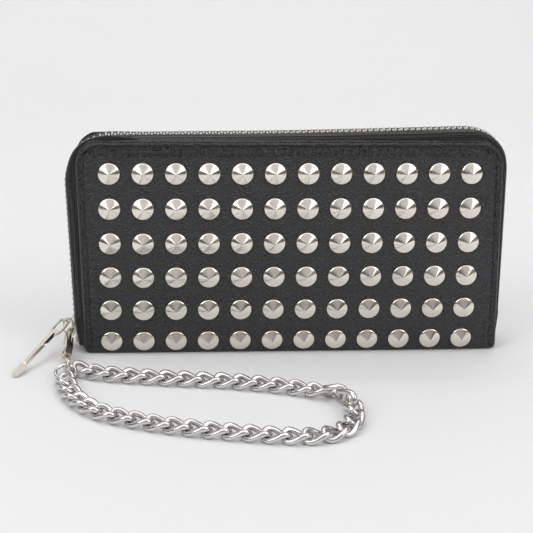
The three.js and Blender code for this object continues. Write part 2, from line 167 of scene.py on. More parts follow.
def sheet_faces(rows, columns):
    """Faces of a closed thin sheet: its outer grid of points, its inner grid after that, and its border."""
    count = rows * columns
    grid = quads(rows, columns)
    ring = border_of(rows, columns)
    edge = [(a, a + count, b + count, b) for a, b in zip(ring, ring[1:] + ring[:1])]
    return grid + [tuple(i + count for i in f)[::-1] for f in grid] + edge


def unit(vectors):
    return vectors / np.linalg.norm(vectors, axis=-1, keepdims=True)


def sweep(form, path, section, up):
    """Sweeps a closed section, given as (side, up) offsets, round a closed path."""
    path = np.asarray(path, float)
    tangent = unit(np.roll(path, -1, axis=0) - np.roll(path, 1, axis=0))
    side = unit(np.cross(np.broadcast_to(up, path.shape), tangent))
    over = np.cross(tangent, side)
    section = np.asarray(section, float)
    rings = path[:, None] + side[:, None] * section[None, :, :1] + over[:, None] * section[None, :, 1:]
    return form.add(rings.reshape(-1, 3), quads(len(path), len(section), True, True))


def circle(radius, steps):
    turns = np.arange(steps) * 2 * math.pi / steps
    return np.stack([radius * np.cos(turns), radius * np.sin(turns)], axis=1)


def rounded_rect(half_side, half_up, corner, steps):
    """A closed outline with round corners, anticlockwise."""
    outline = []
    for quarter, (sx, sy) in enumerate([(1, 1), (-1, 1), (-1, -1), (1, -1)]):
        for i in range(steps + 1):
            turn = (quarter + i / steps) * math.pi / 2
            x = sx * (half_side - corner) + corner * math.cos(turn)
            y = sy * (half_up - corner) + corner * math.sin(turn)
            outline.append((x, y))
    return np.array(outline)


def lathe(form, profile, steps, matrix):
    """Turns a profile of (radius, height) about local Z. Its ends lie on the axis."""
    turns = np.arange(steps) * 2 * math.pi / steps
    rings = [[(r * math.cos(a), r * math.sin(a), h) for a in turns] for r, h in profile[1:-1]]
    points = [point for ring in rings for point in ring]
    first, last = len(points), len(points) + 1
    points += [(0, 0, profile[0][1]), (0, 0, profile[-1][1])]
    faces = quads(len(rings), steps, False, True)
    base = (len(rings) - 1) * steps
    for i in range(steps):
        after = (i + 1) % steps
        faces.append((first, after, i))
        faces.append((base + i, base + after, last))
    turned = np.array(points) @ np.array(matrix.to_3x3()).T + np.array(matrix.translation)
    return form.add(turned, faces)


def smooth_line(points, spacing):
    """Evenly spaced points on a centripetal Catmull-Rom curve through the given ones."""
    points = np.asarray(points, float)
    padded = np.concatenate([2 * points[:1] - points[1:2], points, 2 * points[-1:] - points[-2:-1]])
    fine = []
    for p0, p1, p2, p3 in zip(padded, padded[1:], padded[2:], padded[3:]):
        t1 = np.linalg.norm(p1 - p0) ** 0.5
        t2 = t1 + np.linalg.norm(p2 - p1) ** 0.5
        t3 = t2 + np.linalg.norm(p3 - p2) ** 0.5
        for t in np.linspace(t1, t2, 24, endpoint=False):
            a1 = (t1 - t) / t1 * p0 + t / t1 * p1
            a2 = (t2 - t) / (t2 - t1) * p1 + (t - t1) / (t2 - t1) * p2
            a3 = (t3 - t) / (t3 - t2) * p2 + (t - t2) / (t3 - t2) * p3
            b1 = (t2 - t) / t2 * a1 + t / t2 * a2
            b2 = (t3 - t) / (t3 - t1) * a2 + (t - t1) / (t3 - t1) * a3
            fine.append((t2 - t) / (t2 - t1) * b1 + (t - t1) / (t2 - t1) * b2)
    fine.append(points[-1])
    return spaced(np.array(fine), spacing)


def lengths_along(line):
    return np.concatenate([[0], np.cumsum(np.linalg.norm(np.diff(line, axis=0), axis=1))])


def at_length(line, s):
    along = lengths_along(line)
    return np.stack([np.interp(s, along, line[:, k]) for k in range(line.shape[1])], axis=-1)


def spaced(line, spacing):
    total = lengths_along(line)[-1]
    return at_length(line, np.linspace(0, total, max(2, round(total / spacing) + 1)))


# Materials

class Finish:
    """A material whose nodes are added one by one to its Principled shader."""

    def __init__(self, name, color, roughness, metallic=0.0, **sockets):
        self.material = bpy.data.materials.new(name)
        self.material.use_nodes = True
        self.tree = self.material.node_tree
        self.shader = self.tree.nodes["Principled BSDF"]
        self.color = color
        self.set(self.shader, {"Base Color": (*color, 1), "Roughness": roughness, "Metallic": metallic})
        self.set(self.shader, sockets)
        self.place = self.tree.nodes.new("ShaderNodeTexCoord").outputs["Object"]
        self.normal = None

    def set(self, node, values):
        for socket, value in values.items():
            node.inputs[socket].default_value = value

    def node(self, kind, inputs=None, links=None, **settings):
        node = self.tree.nodes.new("ShaderNode" + kind)
        for key, value in settings.items():
            setattr(node, key, value)
        self.set(node, inputs or {})
        for socket, source in (links or {}).items():
            self.tree.links.new(source, node.inputs[socket])
        return node

    def stretched(self, scale, turn=(0, 0, 0)):
        """The piece's own coordinates, in metres, scaled along each axis."""
        mapping = self.node("Mapping", {"Scale": scale, "Rotation": turn}, {"Vector": self.place})
        return mapping.outputs["Vector"]

    def noise(self, scale, detail=4, place=None):
        node = self.node("TexNoise", {"Scale": scale, "Detail": detail}, {"Vector": place or self.place})
        return node.outputs["Fac"]

    def cells(self, scale):
        node = self.node("TexVoronoi", {"Scale": scale}, {"Vector": self.place}, feature="SMOOTH_F1")
        return node.outputs["Distance"]

    def waves(self, scale, direction, distortion=0.0):
        """Waves with a crest every tenth of pi over their scale, in metres."""
        values = {"Scale": scale, "Distortion": distortion}
        node = self.node("TexWave", values, {"Vector": self.place}, bands_direction=direction)
        return node.outputs["Fac"]

    def math(self, operation, *values):
        """A Math node's result; each value is a number or another node's output."""
        node = self.tree.nodes.new("ShaderNodeMath")
        node.operation = operation
        for socket, value in zip(node.inputs, values):
            if isinstance(value, (int, float)):
                socket.default_value = value
            else:
                self.tree.links.new(value, socket)
        return node.outputs["Value"]

    def remap(self, value, low, high, to_low, to_high):
        values = {"From Min": low, "From Max": high, "To Min": to_low, "To Max": to_high}
        return self.node("MapRange", values, {"Value": value}).outputs["Result"]

    def bump(self, height, distance, strength=1.0):
        links = {"Height": height}
        if self.normal:
            links["Normal"] = self.normal
        node = self.node("Bump", {"Distance": distance, "Strength": strength}, links)
        self.normal = node.outputs["Normal"]
        self.tree.links.new(self.normal, self.shader.inputs["Normal"])

    def rough(self, value, low, high, to_low, to_high):
        source = self.remap(value, low, high, to_low, to_high)
        self.tree.links.new(source, self.shader.inputs["Roughness"])

    def tint(self, value, low, high, dark, light):
        """Blends the base colour between two multiples of itself."""
        ramp = self.node("ValToRGB", {}, {"Fac": self.remap(value, low, high, 0, 1)})
        for stop, share in zip(ramp.color_ramp.elements, (dark, light)):
            stop.color = (*[min(1, c * share) for c in self.color], 1)
        self.tree.links.new(ramp.outputs["Color"], self.shader.inputs["Base Color"])


def add_seam_gathers(finish):
    """Small gathers in a cover's leather just inside its stitch line, one to each stitch."""
    split = finish.node("SeparateXYZ", {}, {"Vector": finish.place})
    x, z = split.outputs["X"], split.outputs["Z"]
    leaned = finish.math("MULTIPLY_ADD", z, -LEAN, x)
    side = finish.math("ABSOLUTE", finish.math("SUBTRACT", leaned, -LEAN * HEIGHT / 2 * MM))
    gathers = []
    for value, edge, direction, depth in ((z, HEIGHT, "X", 1.0), (side, HALF_WIDTH, "Z", 0.45)):
        middle = (edge - GATHER_INSET) * MM
        away = finish.math("ABSOLUTE", finish.math("SUBTRACT", value, middle))
        near = finish.remap(away, 0.0, GATHER_REACH * MM, depth, 0.0)
        folds = finish.waves(GATHER_SCALE, direction, distortion=3.0)
        gathers.append(finish.math("MULTIPLY", near, folds))
    finish.bump(finish.math("MAXIMUM", *gathers), 0.0009, 0.9)


def leather_finish(name, color, grain, roughness, gathered=False):
    """Fine pebbled leather. The grain is the number of pebbles per metre."""
    finish = Finish(name, color, roughness, **{"Specular IOR Level": 0.7})
    if gathered:
        add_seam_gathers(finish)
    pebbles = finish.cells(grain)
    creases = finish.noise(grain * 0.45, 6)
    patches = finish.noise(28, 5)
    finish.bump(patches, 0.0012, 0.45)
    finish.bump(creases, 0.0011, 0.8)
    finish.bump(pebbles, 0.0009, 0.9)
    finish.rough(patches, 0.3, 0.7, roughness - 0.06, roughness + 0.08)
    finish.tint(finish.noise(grain * 0.3, 5), 0.3, 0.7, 0.75, 1.3)
    return finish.material


def woven_finish(name, color, threads):
    """Plain woven cloth. The threads are counted per metre."""
    finish = Finish(name, color, 0.85, **{"Sheen Weight": 0.25, "Sheen Roughness": 0.5})
    scale = threads * math.pi / 10
    warp = finish.waves(scale, "X")
    weft = finish.waves(scale, "Z")
    side = finish.waves(scale, "Y")
    weave = finish.math("ADD", finish.math("MULTIPLY", warp, weft), side)
    finish.bump(weave, 0.0004, 0.8)
    finish.bump(finish.noise(threads * 0.6, 3), 0.0001, 0.4)
    finish.tint(weave, 0.1, 1.4, 0.6, 1.5)
    return finish.material


def metal_finish(name, color, roughness):
    """Plated metal with fine wear: faint scratches and a slightly uneven polish."""
    finish = Finish(name, color, roughness, 1.0)
    wear = finish.noise(160, 6)
    finish.rough(wear, 0.35, 0.7, max(0.03, roughness - 0.05), roughness + 0.07)
    finish.bump(finish.noise(90, 3), 0.00003, 0.25)
    lines = finish.noise(700, 3, finish.stretched((1, 6, 1), (0.3, 0.2, 0.5)))
    finish.bump(lines, 0.00001, 0.5)
    finish.tint(finish.noise(60, 4), 0.3, 0.7, 0.94, 1.04)
    return finish.material


def board_finish():
    finish = Finish("fibre_board", (0.30, 0.26, 0.21), 0.9)
    fibres = finish.noise(900, 6, finish.stretched((1, 1, 4)))
    finish.bump(fibres, 0.0001, 0.5)
    finish.tint(fibres, 0.35, 0.65, 0.8, 1.15)
    return finish.material


def foam_finish():
    finish = Finish("felt_padding", (0.06, 0.06, 0.062), 0.95, **{"Sheen Weight": 0.4})
    fibres = finish.noise(1400, 8)
    finish.bump(fibres, 0.0004, 0.7)
    finish.tint(fibres, 0.3, 0.7, 0.7, 1.3)
    return finish.material


def thread_finish():
    finish = Finish("stitching_thread", (0.022, 0.022, 0.024), 0.6, **{"Sheen Weight": 0.3})
    twist = finish.waves(260, "DIAGONAL")
    finish.bump(twist, 0.00008, 0.7)
    finish.tint(twist, 0, 1, 0.7, 1.4)
    return finish.material


GATHER_INSET = 5.2  # cover's edge to the middle of the gathers along its seam
GATHER_REACH = 2.4
GATHER_SCALE = 95  # a gather every 3.3 mm
LEATHER_BLACK = leather_finish("grained_leather", (0.0072, 0.0072, 0.0108), 1400, 0.30, gathered=True)
POCKET_BLACK = leather_finish("pocket_leather", (0.022, 0.022, 0.024), 2100, 0.58)
TAPE_BLACK = woven_finish("zip_tape_weave", (0.010, 0.010, 0.011), 1000)
CLOTH_BLACK = woven_finish("lining_weave", (0.024, 0.024, 0.026), 2200)
STUD_NICKEL = metal_finish("stud_nickel", (0.83, 0.775, 0.705), 0.2)
CHAIN_NICKEL = metal_finish("chain_nickel", (0.68, 0.665, 0.65), 0.10)
HARDWARE_NICKEL = metal_finish("hardware_nickel", (0.74, 0.70, 0.62), 0.14)
ZIP_METAL = metal_finish("zip_metal", (0.58, 0.56, 0.51), 0.26)
BOARD = board_finish()
FOAM = foam_finish()
THREAD = thread_finish()


# Wrist chain and the ring it hangs on

LINK_PITCH = 8.2
LINK_HALF_LENGTH = 5.42
LINK_HALF_WIDTH = 3.7
LINK_TWIST = -1.5
LINK_WIRE = 1.28
CHAIN_Z = LINK_WIRE - LINK_TWIST + 0.02
RING_HOLD = 7.9  # ring's centre to the middle of the link that hangs on it
LEAD_LINKS = 2  # links at each end, next to the ring, made as a piece of their own
TURNED_AT = 121  # millimetres along the chain where its links stand on edge
TURNED_OVER = 9
TURNED_BY = -1.3


def drawn_to_ring(point):
    """The point at the distance of the first link's middle from the ring, on the same side."""
    centre = RING_CENTRE[:2]
    return centre + RING_HOLD * unit(np.array(point, float) - centre)


def chain_line():
    ends = [drawn_to_ring(CHAIN_ROUTE[0]), drawn_to_ring(CHAIN_ROUTE[-1])]
    flat = smooth_line([ends[0], *CHAIN_ROUTE[1:-1], ends[1]], 0.5)
    return np.column_stack([flat, np.full(len(flat), CHAIN_Z)])


def link_roll(s):
    return TURNED_BY * math.exp(-(((s - TURNED_AT) / TURNED_OVER) ** 2))


def link_lift(roll):
    """How far a rolled link's middle rises so that it still rests on the floor."""
    turns = np.linspace(0, 2 * math.pi, 60)
    depth = LINK_HALF_WIDTH * np.sin(turns) * math.sin(roll) + LINK_TWIST * np.sin(2 * turns) * math.cos(roll)
    return -depth.min() + LINK_TWIST


def add_link(form, line, s):
    """One curb link: an oval of wire with its two ends twisted opposite ways."""
    middle = at_length(line, s)
    along = unit(at_length(line, s + LINK_PITCH / 2) - at_length(line, s - LINK_PITCH / 2))
    left = unit(np.cross((0, 0, 1), along))
    roll = link_roll(s)
    middle = middle + np.array((0, 0, link_lift(roll)))
    side = left * math.cos(roll) + np.array((0, 0, math.sin(roll)))
    over = np.cross(along, side)
    turns = np.linspace(0, 2 * math.pi, 36, endpoint=False)
    oval = (
        middle
        + LINK_HALF_LENGTH * np.cos(turns)[:, None] * along
        + LINK_HALF_WIDTH * (np.sin(turns) * (1 + 0.06 * np.cos(2 * turns)))[:, None] * side
        + LINK_TWIST * np.sin(2 * turns)[:, None] * over
    )
    sweep(form, oval, circle(LINK_WIRE, 12), over)


def make_ring():
    turns = np.linspace(0, 2 * math.pi, 64, endpoint=False)
    tilt = np.array(Matrix.Rotation(RING_TILT, 3, "X"))
    loop = np.stack([RING_RADIUS * np.cos(turns), RING_RADIUS * np.sin(turns), 0 * turns], axis=1)
    form = Form()
    sweep(form, RING_CENTRE + loop @ tilt.T, circle(RING_WIRE, 16), tilt @ (0, 0, 1))
    piece = form.piece("round_chain_ring", CHAIN_NICKEL)
    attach(piece, "clasp")
    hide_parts("chain_ring")
    return piece


def make_chain():
    line = chain_line()
    total = lengths_along(line)[-1]
    count = round(total / LINK_PITCH) + 1
    places = np.linspace(0, total, count)
    main, lead = Form(), Form()
    for i, s in enumerate(places):
        near_ring = i < LEAD_LINKS or i >= count - LEAD_LINKS
        add_link(lead if near_ring else main, line, s)
    lead_piece = lead.piece("chain_end_links", CHAIN_NICKEL)
    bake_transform(lead_piece)
    chain = main.piece("curb_chain", CHAIN_NICKEL)
    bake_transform(chain)
    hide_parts("wrist_chain")
    make_ring()


make_chain()


# The cover's form

def lean_at(z):
    return LEAN * (z - HEIGHT / 2)


def half_width_at(z):
    z = np.asarray(z, float)
    above = np.clip(z - (HEIGHT - TOP_CORNER), 0, TOP_CORNER)
    below = np.clip(BOTTOM_CORNER - z, 0, BOTTOM_CORNER)
    top = HALF_WIDTH - TOP_CORNER + np.sqrt(TOP_CORNER**2 - above**2)
    bottom = HALF_WIDTH - BOTTOM_CORNER + np.sqrt(BOTTOM_CORNER**2 - below**2)
    return np.minimum(top, bottom)


def face_at(x, z):
    """Depth of a cover's outer face in front of the centre plane."""
    rise = np.sin(math.pi * np.clip(z / HEIGHT, 0, 1) ** BULGE_SKEW)
    across = np.minimum(np.abs(x - lean_at(z)) / HALF_WIDTH, 1)
    return EDGE_DEPTH + BULGE * rise * (1 - across**12)


def edge_distance(x, z):
    """How far a point of the cover lies inside its outline, with the spine's side left out."""
    side = HALF_WIDTH - np.abs(x - lean_at(z))
    top = HEIGHT - z
    corner = TOP_CORNER - np.hypot(np.maximum(TOP_CORNER - side, 0), np.maximum(TOP_CORNER - top, 0))
    in_corner = (side < TOP_CORNER) & (top < TOP_CORNER)
    return np.where(in_corner, corner, np.minimum(side, top))


STITCH_INSET = 3.3
# Rises and dips of the leather's surface: (height, distance from the edge, spread)
EDGE_BEAD = (0.64, 1.5, 0.65)
STITCH_CHANNEL = (-0.42, STITCH_INSET, 0.5)
SEAM_PUFF = (0.42, GATHER_INSET, 1.3)
EDGE_ROLL_OFF = (-0.5, 0, 0.45)


def relief_at(distance):
    """Height of the leather's surface over the plain form, by distance from the edge."""
    reliefs = (EDGE_BEAD, STITCH_CHANNEL, SEAM_PUFF, EDGE_ROLL_OFF)
    return sum(height * np.exp(-(((distance - inset) / spread) ** 2)) for height, inset, spread in reliefs)


EDGE_TUCK = 0.75  # the flat part stops this far inside the outline, and the turned edge fills the rest
BACK_EDGE = 3.4  # full thickness of the turned edge
# The turned edge's outline, as (outward, deep): two soft beads of leather, outward and then back in
TURNED_EDGE = [(0.42, 0.12), (0.68, 0.42), (0.74, 0.85), (0.62, 1.25), (0.34, 1.52), (0.16, 1.62)]
TURNED_EDGE += [(0.34, 1.74), (0.60, 2.0), (0.66, 2.45), (0.52, 2.95), (0.2, 3.3), (-0.9, BACK_EDGE)]

COLUMNS = 150
FACE_ROWS = 96
BEND_ROWS = 10
SPINE_ROWS = 10
BEND_HEIGHT = 2.4
SPINE_HALF = 8.0


def shell_rows():
    """(side, z, bend) of each row of the outer leather, from the studded top over the spine to the plain top.
    Bend runs from 0 on a cover to 1 on the flat of the spine."""
    climb = (1 - np.cos(np.linspace(0, math.pi, FACE_ROWS))) / 2
    heights = BEND_HEIGHT + (HEIGHT - EDGE_TUCK - BEND_HEIGHT) * climb
    face = [(1, z, 0.0) for z in heights[::-1]]
    bends = [(1, 0.0, b) for b in np.linspace(0, 1, BEND_ROWS + 1)[1:]]
    spine = [(s, 0.0, 1.0) for s in np.linspace(1, -1, SPINE_ROWS + 1)[1:-1]]
    back = [(-1, 0.0, b) for b in np.linspace(1, 0, BEND_ROWS + 1)[:-1]]
    return face + bends + spine + back + [(-1, z, 0.0) for z in heights]


def shell_point(u, row, depth):
    """A point of the leather at column u from -1 to 1, a depth under its outer surface."""
    side, z, bend = row
    turn = bend * math.pi / 2
    radius = BEND_HEIGHT - depth
    level = z if z > 0 else BEND_HEIGHT - radius * math.sin(turn)
    width_z = z if z > 0 else BEND_HEIGHT * (1 - math.sin(turn))
    x = math.sin(u * math.pi / 2) * (float(half_width_at(width_z)) - EDGE_TUCK) + lean_at(width_z)
    if bend == 0:
        relief = relief_at(edge_distance(x, z)) if depth == 0 else 0
        return (x, -side * (float(face_at(x, z)) + relief - depth), z)
    if abs(side) < 1 or bend == 1:
        return (x, -side * SPINE_HALF, depth)
    face = float(face_at(x, BEND_HEIGHT)) - depth
    fall = SPINE_HALF + (face - SPINE_HALF) * math.cos(turn)
    return (x, -side * fall, level)


def make_leather():
    """One sheet of leather makes both covers and the spine between them; its other edges are turned in."""
    rows = shell_rows()
    us = np.linspace(-1, 1, COLUMNS)
    outer = np.array([shell_point(u, row, 0) for row in rows for u in us])
    inner = np.array([shell_point(u, row, LEATHER) for row in rows for u in us])
    form = Form()
    grid = quads(len(rows), COLUMNS)
    faces = [f[::-1] for f in grid] + [tuple(i + len(outer) for i in f) for f in grid]
    form.add(np.concatenate([outer, inner]), faces)
    border = border_of(len(rows), COLUMNS)
    low, deep = outer[border], inner[border]
    away = unit(np.cross(np.roll(low, -1, axis=0) - np.roll(low, 1, axis=0), low - deep))
    down = unit(deep - low)
    # Beside the spine the edge is a single thickness of leather.
    spine = np.array([1.0 if rows[i // COLUMNS][2] > 0 else 0.0 for i in border])
    spine = np.convolve(np.concatenate([spine[-4:], spine, spine[:4]]), np.ones(9) / 9, "valid")
    rings = [low]
    for out, depth in TURNED_EDGE:
        at = depth * (1 - spine) + depth * LEATHER / BACK_EDGE * spine
        rings.append(low + away * (out * (1 - 0.4 * spine))[:, None] + down * at[:, None])
    rings.append(deep)
    form.add(np.concatenate(rings), quads(len(rings), len(border), False, True))
    piece = form.piece("outer_leather", LEATHER_BLACK)
    weld(piece)
    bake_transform(piece)
    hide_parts("front_cover", "back_cover", "spine_leather")


WELD_REACH = 0.00001
TOOTH_WELD_REACH = 0.000001


def weld(piece, distance=WELD_REACH):
    """Joins the points of a mesh that lie on each other and turns its faces outward."""
    shape = bmesh.new()
    shape.from_mesh(piece.data)
    bmesh.ops.remove_doubles(shape, verts=shape.verts, dist=distance)
    bmesh.ops.recalc_face_normals(shape, faces=shape.faces)
    shape.to_mesh(piece.data)
    shape.free()


make_leather()


# Stitching

STITCH = 2.3
STITCH_PITCH = 3.0
STITCH_RADIUS = 0.26
STITCH_SIDES = 6


def stitch_points():
    points = []
    ends = [(-1.0, 0.35), (-0.72, 0.8), (-0.3, 1.0), (0.3, 1.0), (0.72, 0.8), (1.0, 0.35)]
    for t, share in ends:
        for a in range(STITCH_SIDES):
            turn = a * math.pi / 3
            sag = -0.55 * STITCH_RADIUS * abs(t) ** 3
            radius = share * STITCH_RADIUS
            points.append((t * STITCH / 2, radius * math.cos(turn), radius * math.sin(turn) + sag))
    return np.array(points), tube_faces(len(ends), STITCH_SIDES)


def stitch_along(form, line, normal):
    """Runs separate stitches along a line, each lying flat on the surface with that normal."""
    shape, faces = stitch_points()
    total = lengths_along(line)[-1]
    count = int(total / STITCH_PITCH)
    for i in range(count):
        s = (i + 0.5) * total / count
        middle = at_length(line, s)
        along = unit(at_length(line, min(s + 1, total)) - at_length(line, max(s - 1, 0)))
        side = unit(np.cross(normal, along))
        form.add(middle + shape[:, :1] * along + shape[:, 1:2] * side + shape[:, 2:] * normal, faces)


def cover_seam(side):
    """The stitch line of one cover, from one bottom corner over the top to the other."""
    inset, radius = STITCH_INSET, TOP_CORNER - STITCH_INSET
    outline = [(-HALF_WIDTH + inset, z) for z in np.linspace(4, HEIGHT - TOP_CORNER, 40)]
    centre = HALF_WIDTH - TOP_CORNER
    for turn in np.linspace(math.pi, math.pi / 2, 12)[1:]:
        outline.append((-centre + radius * math.cos(turn), HEIGHT - TOP_CORNER + radius * math.sin(turn)))
    outline += [(x, HEIGHT - inset) for x in np.linspace(-centre, centre, 80)[1:]]
    outline += [(-x, z) for x, z in outline[:51][::-1]]
    line = np.array([(x + lean_at(z), 0, z) for x, z in outline])
    depth = face_at(line[:, 0], line[:, 2]) + relief_at(inset) + STITCH_RADIUS * 0.5
    line[:, 1] = -side * depth
    return spaced(line, 0.8)


def make_stitching(name, side, body):
    form = Form()
    stitch_along(form, cover_seam(side), np.array((0.0, -side, 0.0)))
    piece = form.piece(name, THREAD)
    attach(piece, body)


make_stitching("front_cover_stitching", 1, "front_half")
make_stitching("back_cover_stitching", -1, "root")


# Studs

def stud_profile():
    """Base, short rim, straight cone and a slightly blunt tip, from the leather out."""
    profile = [(0, -0.25), (4.86, -0.25), (4.97, -0.05), (5.0, 0.2), (4.97, 0.42), (4.86, 0.6), (4.68, 0.74)]
    cone_foot, cone_top = (4.55, 0.82), (0.32, 2.78)
    for share in np.linspace(0, 1, 7):
        profile.append(tuple(a + (b - a) * share for a, b in zip(cone_foot, cone_top)))
    return profile + [(0.16, STUD_RISE - 0.05), (0, STUD_RISE)]


def make_studs():
    profile = stud_profile()
    random = np.random.default_rng(7)
    for row, z in enumerate(STUD_HEIGHTS):
        form = Form()
        for column in range(STUD_COLUMNS):
            x = STUD_GRID_X + (column - (STUD_COLUMNS - 1) / 2) * STUD_PITCH
            depth = float(face_at(x, z))
            slope = float(face_at(x, z + 1) - face_at(x, z - 1)) / 2
            tip, tilt = random.normal(0, 0.012, 2)
            turn = Matrix.Rotation(math.pi / 2 + math.atan(slope) + tip, 4, "X")
            lean = Matrix.Rotation(tilt, 4, "Z")
            lathe(form, profile, 48, Matrix.Translation((x, -depth, z)) @ lean @ turn)
        piece = form.piece(f"cone_studs_row_{row + 1}", STUD_NICKEL)
        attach(piece, "front_half")
        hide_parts(f"stud_row_{row + 1}")


make_studs()


# Padding: a crowned pad between each cover's leather and its board

PAD_INSET = 3.6
PAD_BACK = 7.15  # depth of the pad's flat side in front of the centre plane
PAD_COVER = 2.45  # what lies between the pad and the cover's outer face


def make_padding(side, body):
    name = "front" if side > 0 else "back"
    rows, columns = 40, 60
    inset = PAD_INSET
    climb = (1 - np.cos(np.linspace(0, math.pi, rows))) / 2
    outer, inner = [], []
    for z in inset + (HEIGHT - 2 * inset) * climb:
        for u in np.linspace(-1, 1, columns):
            x = math.sin(u * math.pi / 2) * (float(half_width_at(z)) - inset) + lean_at(z)
            thick = float(face_at(x, z)) - PAD_COVER - PAD_BACK
            edge = min(1.0, max(0.0, float(edge_distance(x, z) - inset) / 3))
            crown = math.sqrt(1 - (1 - edge) ** 2)
            outer.append((x, -side * (PAD_BACK + thick * (0.45 + 0.55 * crown)), z))
            inner.append((x, -side * (PAD_BACK + thick * 0.4 * (1 - crown)), z))
    piece = Form().add(outer + inner, sheet_faces(rows, columns)).piece(f"{name}_felt_pad", FOAM)
    weld(piece)
    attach(piece, body)
    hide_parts(f"{name}_padding")


make_padding(1, "front_half")
make_padding(-1, "root")


# Zip round the edge

def quadratic(start, control, end, steps=24):
    t = np.linspace(0, 1, steps)[:, None]
    start, control, end = (np.array(p, float) for p in (start, control, end))
    return (1 - t) ** 2 * start + 2 * t * (1 - t) * control + t**2 * end


def teeth_line():
    """The line of the teeth in the XZ plane, from the left foot over the top to the right one."""
    left = [(TEETH_X + ZIP_SLOPE * z, z) for z in np.linspace(15.5, 80, 30)]
    corner = quadratic(left[-1], (-103.4, 102.2), (-83, 102.5))
    top = smooth_line([(-83, 102.5), (-1, 103.4), (78, 105.4)], 2)
    turn = quadratic((78, 105.4), (97.6, 105.8), (97.6, 86))
    down = smooth_line([(97.6, 86), (97.9, 60), (98, 17)], 2)
    line = spaced(np.concatenate([left, corner[1:], top[1:], turn[1:], down[1:]]), 1.0)
    # Round the left corner the tape hides the teeth, which lie a little deeper there.
    depth, corner_at, reach = 1.3, 84, 13
    inward = depth * np.exp(-(((lengths_along(line) - corner_at) / reach) ** 4))
    return line + inward[:, None] * (math.sqrt(0.5), -math.sqrt(0.5))


def edge_line():
    """The cover's outline where the tape comes out of it, with the same start and end."""
    reach, top = HALF_WIDTH - 1.7, HEIGHT - 1.7
    shoulder = top - TOP_CORNER
    left = [(lean_at(z) - reach, z) for z in np.linspace(15.5, shoulder, 30)]
    corner = quadratic(left[-1], (lean_at(top) - reach, top), (TOP_CORNER - reach, top))
    right_foot = (lean_at(shoulder) + reach, shoulder)
    turn = quadratic((reach - TOP_CORNER - 3, top), (lean_at(top) + reach, top), right_foot)
    down = [right_foot, (lean_at(17) + reach, 17)]
    return spaced(np.concatenate([left, corner[1:], turn, down[1:]]), 1.0)


ZIP_LINE = teeth_line()
EDGE_LINE = edge_line()
ZIP_LENGTH = lengths_along(ZIP_LINE)[-1]
EDGE_LENGTH = lengths_along(EDGE_LINE)[-1]


def zip_frame(share):
    """Teeth line point, cover edge point, and directions along and out of the zip, by share of its length."""
    at = at_length(ZIP_LINE, share * ZIP_LENGTH)
    edge = at_length(EDGE_LINE, share * EDGE_LENGTH)
    step = 0.75 / ZIP_LENGTH
    ahead = at_length(ZIP_LINE, np.clip(share + step, 0, 1) * ZIP_LENGTH)
    behind = at_length(ZIP_LINE, np.clip(share - step, 0, 1) * ZIP_LENGTH)
    along = unit(ahead - behind)
    out = np.stack([-along[..., 1], along[..., 0]], axis=-1)
    return at, edge, along, out


# How far the tape bulges out between its two edges, by distance along the zip: most at the corners
# and down the right side, where it hides the teeth from the front
TAPE_PUFF = [(0, 0.3), (56, 0.6), (74, 2.6), (96, 2.4), (114, 0.4), (238, 0.3), (268, 1.9), (357, 1.9)]
BACK_PUFF = 0.4  # the plain half's share of that bulge
TAPE_FOOT = 3  # height that both ends of the tape run down to, past the last teeth
TAPE_DRAW = 1.9  # how far those ends are drawn in toward the spine
TAPE_CLEARANCE = 4.9  # half width that the ends leave free for the slider
TAPE_POINTS = 440
TAPE_ROOT = 8.2  # depth of the tape's hidden edge, under the cover
TAPE_LIP = 2.35  # depth of its corded edge, at the teeth


def tape_path():
    """Points along the tape: teeth line, cover edge, way out of the zip, puff, and how far it is an end."""
    share = np.linspace(0.0005, 0.9995, TAPE_POINTS)
    at, edge, _, out = zip_frame(share)
    puff = np.interp(share * ZIP_LENGTH, *zip(*TAPE_PUFF))
    for first in (True, False):
        end = 0 if first else -1
        drop = np.linspace(at[end][1], TAPE_FOOT, 15)[1:]
        sink = (at[end][1] - drop) / (at[end][1] - TAPE_FOOT)
        inward = np.sign(at[end][0]) * -TAPE_DRAW * sink
        tail_at = np.column_stack([at[end][0] + inward, drop])
        lean = lean_at(drop) - lean_at(at[end][1])
        tail_edge = np.column_stack([edge[end][0] + lean, drop])
        tail_out = np.repeat(out[end][None], len(drop), axis=0)
        tails = (tail_at, tail_edge, tail_out, np.full(len(drop), puff[end]))
        joined = [(t[::-1], m) if first else (m, t) for t, m in zip(tails, (at, edge, out, puff))]
        at, edge, out, puff = (np.concatenate(parts) for parts in joined)
    lowest = np.where(at[:, 0] < 0, ZIP_LINE[0][1], ZIP_LINE[-1][1])
    ended = np.clip((lowest + 2.5 - at[:, 1]) / 2.5, 0, 1)
    return at, edge, out, puff, ended


